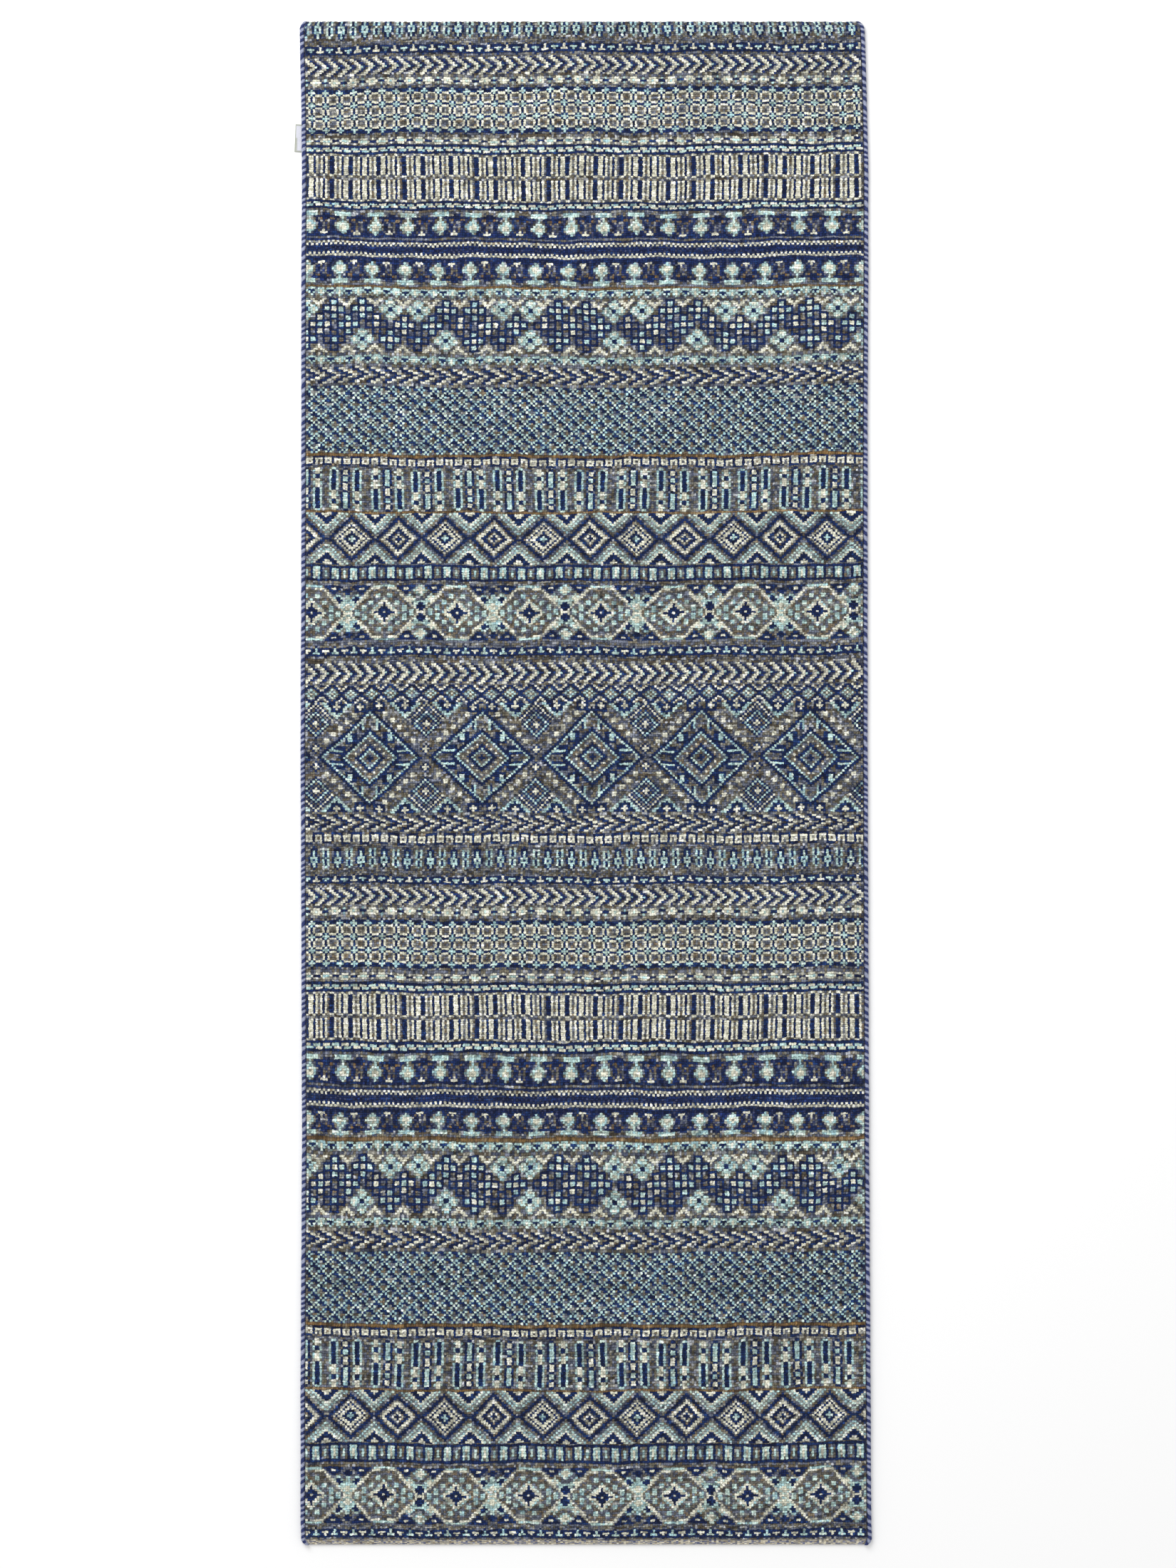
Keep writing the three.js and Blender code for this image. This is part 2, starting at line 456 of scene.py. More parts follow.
def largeDiamonds(rows, turn):
    made = blank(rows)
    period = 47.2
    ax = awayFrom(2.7, period)
    gx = awayFrom(2.7 + period / 2, period)
    blobs = ((6.5, 19.5), (9.5, 16.5), (12.5, 13.5), (15.5, 10.5), (18.5, 7.5))
    for row in range(rows):
        ad = abs(row - 24)
        away = ax + ad
        line = ringed(away, "NNTTINNTTTTINN......INN" + 60 * ".")
        line[(away == 8) & (cols % 2 == 0)] = "C"
        inside = (away > 13) & (away < 20)
        line[inside & (ax > 10) & (abs(ad - 3.5) <= 1.5)] = "N"
        line[inside & (ax > 11) & (ad == 3)] = "I"
        line[inside & (ad > 12) & (abs(ax - 3.5) <= 0.5)] = "N"
        line[inside & (ad > 12) & (ax == 3)] = "I"
        line[inside & (abs(ax - 8) <= 2) & (abs(ad - 9) <= 2)] = "N"
        line[inside & (abs(ax - 8.5) <= 0.6) & (abs(ad - 9) <= 1)] = "I"
        beyond = away > 22
        near = gx + abs(ad - 15)
        line[beyond & (near <= 6)] = "N"
        line[beyond & (near == 5)] = "I"
        line[beyond & (near == 3)] = "T"
        line[beyond & (near <= 1)] = "C"
        roof = beyond & (ad > 16) & (gx <= 7)
        line[roof & (near == 8)] = "N"
        line[roof & (near == 9)] = "C"
        line[roof & (near == 10)] = "N"
        fork = abs(gx - 9) - (ad - 18.5)
        line[beyond & (ad > 17) & (abs(fork) <= 0.6)] = "I"
        line[beyond & (ad > 18) & (fork < -0.6) & (fork > -3)] = "N"
        for dx, dy in blobs:
            line[beyond & (abs(ax - dx) <= 1.1) & (abs(ad - dy) <= 1.1)] = "C"
        line[beyond & (gx + abs(ad - 4.3) <= 2.4)] = "N"
        line[beyond & (gx + abs(ad - 4.3) <= 1.4)] = "C"
        cross = np.minimum(np.abs(gx - 9), np.abs(ax - 4.4))
        line[beyond & (ad >= 21) & (cross <= 2.5)] = "N"
        line[beyond & (ad >= 22) & (cross + abs(ad - 23) <= 1.5)] = "C"
        made[row] = line
    return made


# The order the bands are knotted in, from the +Y end. Each one: its motif, its rows, and its
# length in millimetres the first and the second time round.
bandOrder = [
    (figures, 11, 24, 33), ("ground", 2, 5, 6), (triangles, 6, 18, 16), ("ground", 1, 2, 3),
    (chevrons, 9, 25, 25), ("ground", 1, 4, 3), (dashesCream, 3, 10, 11), ("ground", 1, 2, 4),
    (rings, 23, 70, 73), ("ground", 1, 4, 5), (dashesIce, 3, 10, 10), ("ground", 1, 1, 3),
    (parallelograms, 4, 13, 14), (tally, 22, 68, 69), (parallelograms, 4, 12, 16),
    (flowers, 12, 39, 45), (stripes, 10, 31, 36), (flowersTurned, 12, 38, 38),
    ("brown", 1, 3, 6), (dots, 4, 12, 14), ("ground", 1, 3, 5), (lattice, 25, 76, 86),
    ("ground", 1, 4, 4), (dots, 4, 12, 13), ("ground", 1, 4, 5), (flatChevrons, 7, 23, 24),
    ("ground", 1, 4, 5), (speckle, 30, 95, 101), ("brown", 1, 4, 5), (battlement, 5, 14, 15),
    ("ground", 1, 2, 3), (totems, 19, 60, 69), ("brown", 1, 3, 3), (chainedDiamonds, 23, 71, 73),
    ("ground", 1, 2, 1), (bars, 7, 22, 27), ("ground", 2, 6, 7), (medallions, 25, 77, 79),
    ("ground", 2, 7, 5), (trianglesIce, 6, 18, 17), ("ground", 2, 7, 0), (chevrons, 9, 29, 0),
    ("ground", 1, 2, 0), (smallDiamonds, 9, 25, 0), (largeDiamonds, 49, 155, 0),
    ("ground", 1, 4, 0), (flatChevrons, 7, 22, 0), ("ground", 1, 3, 0), (battlement, 5, 17, 0),
    ("ground", 1, 3, 0),
]


def knotCharts():
    charts = []
    edges = [rugEnd]
    for turn in (0, 1):
        for motif, rows, firstLength, secondLength in bandOrder:
            length = (firstLength, secondLength)[turn] * mm
            if length == 0:
                break
            if motif is figures and turn == 0:
                rows = 8
            if isinstance(motif, str):
                chart = blank(rows, "B" if motif == "brown" else ".")
            else:
                chart = motif(rows, turn)
            charts.append(chart)
            start = edges[-1]
            edges += [start - length * (k + 1) / rows for k in range(rows)]
    return np.vstack(charts), np.array(edges)


chart, rowEdges = knotCharts()
print("rows", chart.shape[0], "last row ends at", round(rowEdges[-1] / mm, 1))

print("yarn colours")

# Each code is a few dyed shades, and how much of each.
dyes = {
    "N": (["142858", "1c3668", "0f1e47"], [5, 3, 3]),
    "D": (["1f2f63", "3c4262", "2a3357"], [5, 3, 3]),
    "C": (["e7e6d0", "dad9c5", "f2f0df", "c9c8b6"], [5, 4, 3, 2]),
    "W": (["e7e5cd", "dcdac3", "f5f2de"], [4, 3, 3]),
    "G": (["8b8b89", "9c9a94", "777982"], [4, 3, 3]),
    "I": (["b2d1ce", "c5ddd3", "9ec2c8", "d2e5da"], [5, 4, 3, 2]),
    "T": (["6e6a62", "696f7f", "7a6c59", "545865", "8d8d8b"], [4, 4, 3, 3, 2]),
    "B": (["80653f", "6f573c", "8d785a"], [4, 3, 2]),
    ".": (["6a6f7e", "716b5c", "474d60", "8f8d84", "a3a6ac", "5a5144"], [5, 4, 4, 3, 2, 2]),
}

yarn = {
    "depth": 0.95,
    "bleed": 0.06,
    "darkBleed": 0.20,
    "groundBleed": 0.24,
    # painted bounce light: how far the painted shade between knots is lifted on pale yarn
    "paintedPaleBounceLight": 0.45,
    "groundStreak": 0.17,
    "speck": 0.20,
    "strand": 0.15,
    "rowShade": 0.07,
    "runShade": 0.10,
    "knotShade": 0.19,
    # painted shade in the gaps and hollows between knots, and a painted highlight on each knot's top
    "paintedCreviceShade": 0.24,
    "paintedRowGapShade": 0.52,
    "paintedColumnGapShade": 0.72,
    "paintedCrownHighlight": 1.16,
    "palest": 0.55,
    # painted shade on the sides and underside of the pile block
    "paintedSideShade": 0.45,
}


def runs(shape, length):
    # values that change slowly along each row, as one length of yarn is used up
    raw = draws.normal(size=(shape[0], shape[1] + length))
    kernel = np.ones(length) / math.sqrt(length)
    return np.array([np.convolve(line, kernel, "same")[:shape[1]] for line in raw])


def sharedOut(rank, shades, parts):
    # a shade for each rank from 0 to 1, in the parts given
    ends = np.cumsum(parts) / sum(parts)
    index = np.searchsorted(ends, rank, side="right").clip(0, len(shades) - 1)
    return np.array([linear(shade) for shade in shades])[index]


def dyedKnots(chart):
    # a knot's shade follows its own luck, that of its length of yarn and that of its row
    shape = chart.shape
    pick = 0.55 * draws.normal(size=shape) + 0.6 * runs(shape, 7)
    pick = pick + 0.55 * draws.normal(size=(shape[0], 1))
    rank = pick.ravel().argsort().argsort().reshape(shape) / pick.size
    made = np.zeros(shape + (3,))
    for code, (shades, parts) in dyes.items():
        here = chart == code
        made[here] = sharedOut(rank[here], shades, parts)
    light = 1 + yarn["rowShade"] * draws.normal(size=(shape[0], 1))
    light = light + yarn["runShade"] * runs(shape, 11) + yarn["knotShade"] * draws.normal(size=shape)
    ground = np.isin(chart, list(".TB"))
    light = light + yarn["groundStreak"] * runs(shape, 5) * ground
    return yarn["depth"] * made * np.clip(light, 0.45, 1.7)[..., None]


knotColours = dyedKnots(chart)

print("lie and relief of the knots")

relief = {
    "rowDip": 0.42,
    "columnDip": 0.22,
    "cornerDip": 0.62,
    "knotHeight": 0.20,
    "waveHeight": 0.25,
    "margin": 0.15,
    "wander": 0.13,
    "rowWander": 0.10,
    "endRagged": 0.8,
    "unevenness": 0.07,
    "shoulder": 1.7,
    "shoulderWidth": 5.0,
    "endDrop": 2.6,
    "endWidth": 7.0,
}


def smoothWaves(x, y):
    slow = np.sin(x * 17 + 1.3 * np.sin(y * 5)) + np.sin(y * 13 + 1.1 * np.sin(x * 7))
    return slow / 2


def knotLattice():
    # where every half-knot point of the pile lies, for the whole rug at once
    rows = chart.shape[0]
    up = np.arange(2 * rows + 1)
    side = np.arange(2 * knots["across"] + 1)
    x = (side / 2 - knots["across"] / 2) * knotPitch
    y = np.interp(up / 2, np.arange(rows + 1), rowEdges)
    gx, gy = np.meshgrid(x, y)
    wander = relief["wander"] * knotPitch
    inner = np.ones_like(gx)
    inner[:, [0, -1]] = 0
    inner[[0, -1], :] = 0
    rowWander = runs(gx.shape, 9) * relief["rowWander"] * knotPitch
    gx = gx + wander * draws.normal(size=gx.shape) * inner
    gy = gy + (0.8 * wander * draws.normal(size=gy.shape) + rowWander) * inner
    ragged = relief["endRagged"] * mm
    gy[0] -= ragged * np.abs(runs((1, gx.shape[1]), 5)[0])
    gy[-1] += ragged * np.abs(runs((1, gx.shape[1]), 5)[0])
    dip = np.zeros_like(gx)
    dip[0::2, :] += relief["rowDip"]
    dip[:, 0::2] += relief["columnDip"]
    dip[0::2, 0::2] = relief["cornerDip"]
    high = np.kron(draws.normal(size=chart.shape) * relief["knotHeight"], np.ones((2, 2)))
    lift = np.zeros_like(gx)
    lift[:-1, :-1] += high
    lift[1:, :-1] += high
    lift[:-1, 1:] += high
    lift[1:, 1:] += high
    lift = lift / 4 + relief["unevenness"] * draws.normal(size=gx.shape)
    inward = np.clip((fieldHalf - np.abs(gx)) / (relief["shoulderWidth"] * mm), 0, 1)
    fromEnd = np.minimum(rowEdges[0] - gy, gy - rowEdges[-1]) / (relief["endWidth"] * mm)
    ends = np.clip(fromEnd, 0, 1)
    drop = relief["shoulder"] * (1 - inward) ** 2 + relief["endDrop"] * (1 - ends) ** 2
    waves = relief["waveHeight"] * (smoothWaves(gx, gy) - 0.6)
    height = -relief["margin"] - dip + lift + waves - drop
    gz = pileHigh[2] + np.minimum(height, relief["margin"]) * mm
    gx, gy = laid(gx, gy)
    return gx, gy, gz


pileX, pileY, pileZ = knotLattice()


def latticeBlock(name, cellsAcross, cellsAlong):
    # a closed block in lattice steps: a fine grid on its face, at height 1, and a laddered back at 0
    bm = bmesh.new()
    bmesh.ops.create_grid(bm, x_segments=cellsAcross, y_segments=cellsAlong, size=0.5)
    bmesh.ops.translate(bm, verts=bm.verts, vec=(0.5, 0.5, 1))
    bmesh.ops.scale(bm, verts=bm.verts, vec=(cellsAcross, cellsAlong, 1))
    rim = [e for e in bm.edges if e.is_boundary]
    grown = bmesh.ops.extrude_edge_only(bm, edges=rim)["geom"]
    low = [g for g in grown if isinstance(g, bmesh.types.BMVert)]
    bmesh.ops.translate(bm, verts=low, vec=(0, 0, -1))
    lowRim = [g for g in grown if isinstance(g, bmesh.types.BMEdge) and g.is_boundary]
    back = bmesh.ops.contextual_create(bm, geom=lowRim)["faces"][0]
    left = {round(v.co.y): v for v in low if v.co.x < 0.5}
    right = {round(v.co.y): v for v in low if v.co.x > cellsAcross - 0.5}
    for step in range(1, cellsAlong):
        part = bmesh.utils.face_split(back, left[step], right[step])[0]
        if left[step + 1] in part.verts:
            back = part
    bmesh.ops.recalc_face_normals(bm, faces=bm.faces)
    return addObject(name, bm)


def pointsOf(piece):
    co = np.zeros(len(piece.data.vertices) * 3)
    piece.data.vertices.foreach_get("co", co)
    return co.reshape(-1, 3)


def latticeSteps(piece):
    co = pointsOf(piece)
    return np.round(co[:, 0]).astype(int), np.round(co[:, 1]).astype(int), co[:, 2] > 0.5


def place(piece, x, y, z):
    piece.data.vertices.foreach_set("co", np.stack([x, y, z], 1).astype(np.float32).ravel())
    piece.data.update()


def turnOutwards(piece):
    # laying a block face down turns it inside out
    bm = bmesh.new()
    bm.from_mesh(piece.data)
    bmesh.ops.recalc_face_normals(bm, faces=bm.faces)
    bm.to_mesh(piece.data)
    bm.free()


def loopVertices(mesh):
    index = np.zeros(len(mesh.loops), int)
    mesh.loops.foreach_get("vertex_index", index)
    return index


def loopFaces(mesh):
    totals = np.zeros(len(mesh.polygons), int)
    mesh.polygons.foreach_get("loop_total", totals)
    return np.repeat(np.arange(len(totals)), totals), totals


def paint(mesh, colours):
    layer = mesh.color_attributes.new("yarn", "FLOAT_COLOR", "CORNER")
    filled = np.ones((len(mesh.loops), 4), np.float32)
    filled[:, :3] = np.clip(colours, 0, 1)
    layer.data.foreach_set("color", filled.ravel())


def smooth(mesh):
    mesh.polygons.foreach_set("use_smooth", np.ones(len(mesh.polygons), bool))


def writeMap(piece, u, v):
    layer = piece.data.uv_layers.new(name="OFBake")
    layer.data.foreach_set("uv", np.stack([u, v], 1).astype(np.float32).ravel())


def flatMap(piece, x, y):
    # a map of the face seen from above
    index = loopVertices(piece.data)
    u = (x - x.min()) / (x.max() - x.min())
    v = (y - y.min()) / (y.max() - y.min())
    writeMap(piece, u[index], v[index])


def nodeAdd(tree, kind, place, inputs):
    made = tree.nodes.new(kind)
    made.location = place
    setInputs(made, inputs)
    return made


def noiseAdd(tree, place, scale, detail):
    return nodeAdd(tree, "ShaderNodeTexNoise", place, {"Scale": scale, "Detail": detail})


def yarnMaterial(name, look):
    material = bpy.data.materials.new(name)
    material.use_nodes = True
    tree = material.node_tree
    shader = tree.nodes["Principled BSDF"]
    setInputs(shader, {"Roughness": look["roughness"], "Specular IOR Level": look["gloss"]})
    sheen = {"Sheen Weight": look["sheen"], "Sheen Roughness": 0.6, "Sheen Tint": (0.95, 0.97, 1, 1)}
    setInputs(shader, sheen)
    dye = nodeAdd(tree, "ShaderNodeAttribute", (-1200, 200), {})
    dye.attribute_name = "yarn"
    where = nodeAdd(tree, "ShaderNodeTexCoord", (-1400, -200), {})
    stretch = nodeAdd(tree, "ShaderNodeMapping", (-1200, -200), {"Scale": look["stretch"]})
    fibre = noiseAdd(tree, (-1000, -100), look["fibreScale"], 3.0)
    clump = noiseAdd(tree, (-1000, -400), look["clumpScale"], 2.0)
    wear = noiseAdd(tree, (-1000, -700), look["wearScale"], 3.0)
    tree.links.new(where.outputs["Object"], stretch.inputs["Vector"])
    tree.links.new(stretch.outputs["Vector"], fibre.inputs["Vector"])
    tree.links.new(where.outputs["Object"], clump.inputs["Vector"])
    tree.links.new(where.outputs["Object"], wear.inputs["Vector"])
    last = dye.outputs["Color"]
    depths = (look["fibreDepth"], look["clumpDepth"], look["wearDepth"])
    for at, (source, depth) in enumerate(zip((fibre, clump, wear), depths)):
        limits = {"From Min": 0.3, "From Max": 0.7, "To Min": 1 - depth, "To Max": 1 + depth}
        spread = nodeAdd(tree, "ShaderNodeMapRange", (-780, -100 - 300 * at), limits)
        tree.links.new(source.outputs["Fac"], spread.inputs["Value"])
        times = nodeAdd(tree, "ShaderNodeVectorMath", (-520 + 160 * at, 200), {})
        times.operation = "SCALE"
        tree.links.new(last, times.inputs[0])
        tree.links.new(spread.outputs["Result"], times.inputs["Scale"])
        last = times.outputs["Vector"]
    tree.links.new(last, shader.inputs["Base Color"])
    dent = {"Strength": look["bump"], "Distance": look["bumpDepth"] * mm}
    bump = nodeAdd(tree, "ShaderNodeBump", (-300, -300), dent)
    tree.links.new(fibre.outputs["Fac"], bump.inputs["Height"])
    tree.links.new(bump.outputs["Normal"], shader.inputs["Normal"])
    return material


woolLook = {
    "roughness": 0.95, "gloss": 0.12, "sheen": 0.12, "stretch": (1, 1, 0.35), "fibreScale": 1500.0,
    "fibreDepth": 0.22, "clumpScale": 520.0, "clumpDepth": 0.30, "wearScale": 5.0, "wearDepth": 0.06,
    "bump": 0.55, "bumpDepth": 0.5,
}
wool = yarnMaterial("wool", woolLook)

print("pile")

bendReach = 10 * mm  # how far past a fold line the rug takes to turn
endRoom = 3 * mm  # a piece that ends within this of the rug's end takes all its rows


def bendTop(piece):
    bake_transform(piece)


def bendBottom(piece):
    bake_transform(piece)


pileNames = [
    ("pile_top_rings", "top_end"), ("pile_top_lattice", "bendTop"), ("pile_speckle", "bendTop"),
    ("pile_octagons", "middle"), ("pile_diamonds", "middle"), ("pile_tallies", "bendBottom"),
    ("pile_bottom_speckle", "bendBottom"), ("pile_bottom_octagons", "bottom_end"),
]


def hold(piece, way):
    if way == "bendTop":
        bendTop(piece)
    elif way == "bendBottom":
        bendBottom(piece)
    else:
        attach(piece, way)


def nearestRow(y):
    return int(np.abs(rowEdges - y).argmin())


def rowsOf(node):
    # the first row of a node's stretch of the rug, and the one after its last
    low = corner(node, 0)[1]
    high = corner(node, 1)[1]
    first = 0 if high > rugEnd - endRoom else nearestRow(high)
    last = chart.shape[0] if low < -rugEnd + endRoom else nearestRow(low)
    return first, last


pointShade = 1 + yarn["speck"] * draws.normal(size=pileX.shape) + yarn["strand"] * runs(pileX.shape, 4)


def pileColours(mesh, i, j, up, firstRow, lastRow):
    # each corner of a knot's four quads takes a little of the colour of the knots beyond it
    index = loopVertices(mesh)
    owner, totals = loopFaces(mesh)
    meanI = np.bincount(owner, i[index]) / totals
    meanJ = np.bincount(owner, j[index]) / totals
    face = np.bincount(owner, up[index]) / totals > 0.99
    col = np.floor(meanI / 2).astype(int).clip(0, knots["across"] - 1)[owner]
    row = (lastRow - 1 - np.floor(meanJ / 2).astype(int)).clip(firstRow, lastRow - 1)[owner]
    dx = (i[index] - (2 * col + 1)).clip(-1, 1)
    dy = -(j[index] - (2 * (lastRow - 1 - row) + 1)).clip(-1, 1)
    own = knotColours[row, col]
    sideCol = (col + dx).clip(0, knots["across"] - 1)
    nextRow = (row + dy).clip(0, chart.shape[0] - 1)
    around = (knotColours[row, sideCol] + knotColours[nextRow, col] + knotColours[nextRow, sideCol]) / 3
    edges = np.abs(dx) + np.abs(dy)
    darker = around.sum(1) < own.sum(1)
    onGround = np.isin(chart[row, col], list(".TBG"))
    intoOwn = np.where(onGround, yarn["groundBleed"], yarn["bleed"])
    bleed = np.where(darker, yarn["darkBleed"], intoOwn) * edges / 2
    mixed = own * (1 - bleed)[:, None] + around * bleed[:, None]
    # painted shade: darker in the gaps between knots and darkest where four knots meet, with a painted
    # highlight on each knot's top
    places = [edges == 0, (edges == 1) & (dy == 0), edges == 1]
    shade = np.select(places, [yarn["paintedCrownHighlight"], yarn["paintedColumnGapShade"], yarn["paintedRowGapShade"]], yarn["paintedCreviceShade"])
    # painted bounce light: the painted shade between knots is lighter on pale yarn
    paleness = np.clip(own.mean(1) / yarn["palest"], 0, 1)
    shade = shade ** (1 - yarn["paintedPaleBounceLight"] * paleness)
    shade = shade * np.clip(pointShade[2 * lastRow - j[index], i[index]], 0.35, 1.8)
    # painted shade on the sides and underside of the pile block
    shade = np.where(face[owner], shade, yarn["paintedSideShade"])
    return mixed * shade[:, None]


pilePieces = []
for name, way in pileNames:
    firstRow, lastRow = rowsOf(name)
    piece = latticeBlock(name + "_wool", 2 * knots["across"], 2 * (lastRow - firstRow))
    i, j, up = latticeSteps(piece)
    at = 2 * lastRow - j
    x = pileX[at, i]
    y = pileY[at, i]
    z = np.where(up, pileZ[at, i], pileLow[2])
    place(piece, x, y, z)
    paint(piece.data, pileColours(piece.data, i, j, up, firstRow, lastRow))
    smooth(piece.data)
    flatMap(piece, x, y)
    piece.data.materials.append(wool)
    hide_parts(name)
    hold(piece, way)
    pilePieces.append(piece)
    print(" ", name, lastRow - firstRow, "rows")

print("woven foundation")

weave = {
    "backRelief": 0.22,
    "stepRoom": 4.0,
    "backShade": 0.82,
    "weftShade": "b3a98f",
    "weftShare": 0.16,
    "weftCover": 0.55,
}
foundationLook = {
    "roughness": 0.92, "gloss": 0.12, "sheen": 0.08, "stretch": (0.5, 1, 1), "fibreScale": 1300.0,
    "fibreDepth": 0.24, "clumpScale": 330.0, "clumpDepth": 0.22, "wearScale": 4.0, "wearDepth": 0.07,
    "bump": 0.6, "bumpDepth": 0.5,
}
backing = yarnMaterial("wovenBacking", foundationLook)
labelLow = corner("label_tab", 0)
labelHigh = corner("label_tab", 1)


def backColours(mesh, i, j, up, firstRow, lastRow):
    # the backs of the knots show underneath, with the pale weft between them
    index = loopVertices(mesh)
    owner, totals = loopFaces(mesh)
    col = np.floor(np.bincount(owner, i[index]) / totals).astype(int).clip(0, knots["across"] - 1)
    step = np.floor(np.bincount(owner, j[index]) / totals).astype(int)
    row = (lastRow - 1 - step).clip(firstRow, lastRow - 1)
    under = np.bincount(owner, up[index]) / totals > 0.99
    pale = linear(weave["weftShade"])
    made = np.where(under[:, None], knotColours[row, col] * weave["backShade"], pale[None, :])
    weft = under & (draws.random(len(under)) < weave["weftShare"])
    made[weft] = (1 - weave["weftCover"]) * made[weft] + weave["weftCover"] * pale
    shade = 1 + 0.10 * draws.normal(size=len(under))
    return (made * shade[:, None])[owner]


def foundationPiece(name, way):
    firstRow, lastRow = rowsOf(name)
    piece = latticeBlock(name + "_weave", knots["across"], lastRow - firstRow)
    i, j, up = latticeSteps(piece)
    at = 2 * (lastRow - j)
    x = pileX[at, 2 * i]
    y = pileY[at, 2 * i]
    face = weave["backRelief"] * mm * draws.random(len(x))
    room = weave["stepRoom"] * mm
    face = np.where(np.abs(y) > hemInner - room, hemThick + touchGap, face)
    tab = (x < labelHigh[0] + room) & (y > labelLow[1] - room) & (y < labelHigh[1] + room)
    face = np.where(tab, np.maximum(face, labelHigh[2] + touchGap), face)
    place(piece, x, y, np.where(up, face, foundationTop))
    turnOutwards(piece)
    paint(piece.data, backColours(piece.data, i, j, up, firstRow, lastRow))
    smooth(piece.data)
    flatMap(piece, x, y)
    piece.data.materials.append(backing)
    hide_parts(name)
    hold(piece, way)
    return piece


for name, way in (("middle", "middle"), ("top", "bendTop"), ("bottom", "bendBottom")):
    foundationPiece("foundation_" + name, way)

print("side edges")

edge = {
    "strands": ["2a3463", "9298b0"],
    "pairLength": 9.6,
    "ringStep": 0.55,
    "around": 14,
    "ridge": 0.42,
    "fuzz": 0.12,
    "wobble": 0.10,
    "mottle": 0.14,
    "innerRings": 60,
    "cordAround": 10,
    "cordRings": 70,
    "cordShade": "d0c6ab",
    "cordLay": 9.0,
    "plies": 3,
}
edgeLook = {
    "roughness": 0.9, "gloss": 0.15, "sheen": 0.1, "stretch": (1, 0.4, 1), "fibreScale": 1700.0,
    "fibreDepth": 0.26, "clumpScale": 420.0, "clumpDepth": 0.15, "wearScale": 9.0, "wearDepth": 0.08,
    "bump": 0.6, "bumpDepth": 0.35,
}
wrapYarn = yarnMaterial("overcastYarn", edgeLook)
cordLook = dict(edgeLook, fibreScale=1200.0, stretch=(1, 0.5, 1))
cordYarn = yarnMaterial("edgeCord", cordLook)


def tubeFrom(name, radii, low, high, cuts, around):
    # four corners spun about the Y axis: a sleeve if the inner radius is above 0, else a rod
    inner, outer = radii
    bm = bmesh.new()
    profile = ((low, inner), (low, outer), (high, outer), (high, inner))
    corners = [bm.verts.new((0, y, r)) for y, r in profile]
    sides = [bm.edges.new((corners[0], corners[1]))]
    long = bm.edges.new((corners[1], corners[2]))
    sides.append(bm.edges.new((corners[2], corners[3])))
    if inner > 0:
        bm.edges.new((corners[3], corners[0]))
    bmesh.ops.subdivide_edges(bm, edges=[long], cuts=cuts[0])
    back = [e for e in bm.edges if inner > 0 and max(abs(v.co.z - inner) for v in e.verts) < 1e-7]
    bmesh.ops.subdivide_edges(bm, edges=back, cuts=cuts[1])
    everything = bm.verts[:] + bm.edges[:]
    bmesh.ops.spin(bm, geom=everything, cent=(0, 0, 0), axis=(0, 1, 0), angle=2 * math.pi,
                   steps=around, use_merge=True)
    bmesh.ops.remove_doubles(bm, verts=bm.verts, dist=1e-6)
    bmesh.ops.recalc_face_normals(bm, faces=bm.faces)
    return addObject(name, bm)


def tubePoints(piece):
    co = pointsOf(piece)
    return co[:, 1], np.arctan2(co[:, 0], co[:, 2]), np.hypot(co[:, 0], co[:, 2])


def tubeMap(piece, y, angle):
    # a map of the tube opened out along its underside
    index = loopVertices(piece.data)
    owner, totals = loopFaces(piece.data)
    turn = angle[index] / (2 * math.pi) + 0.5
    middle = (np.bincount(owner, turn) / totals)[owner]
    turn = np.where((middle > 0.25) & (middle < 0.75) & (turn > 0.99), 0, turn)
    turn = np.where((middle < 0.4) & (turn > 0.8), turn - 1, turn)
    v = (y[index] - y.min()) / (y.max() - y.min())
    writeMap(piece, np.clip(turn, 0, 1), v)


def wrapPhase(y, angle, side):
    # how many pairs of wraps lie between the rug's middle and here
    wander = 0.35 * np.sin(y * 41 + side) + 0.2 * np.sin(y * 133 + 2 * side)
    return y / (edge["pairLength"] * mm) + wander + side * angle / (2 * math.pi)


def crowded(y, low, high, panel):
    # on the ends, a fifth of the rings lie in the first stretch past the fold, where the edge turns
    if panel == "middle":
        return y
    fold, far = (low, high) if panel == "top" else (high, low)
    turned = fold + math.copysign(1.2 * bendReach, far - fold)
    return np.interp((y - fold) / (far - fold), [0, 0.2, 1], [fold, turned, far])


def edgeWay(panel):
    return {"middle": "middle", "top": "bendTop", "bottom": "bendBottom"}[panel]


def toFold(y):
    return math.copysign(foldY, y) if abs(abs(y) - foldY) < mm else y


def finishEdge(piece, y, angle, material, node, panel):
    smooth(piece.data)
    tubeMap(piece, y, angle)
    piece.data.materials.append(material)
    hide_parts(node)
    hold(piece, edgeWay(panel))
    return piece


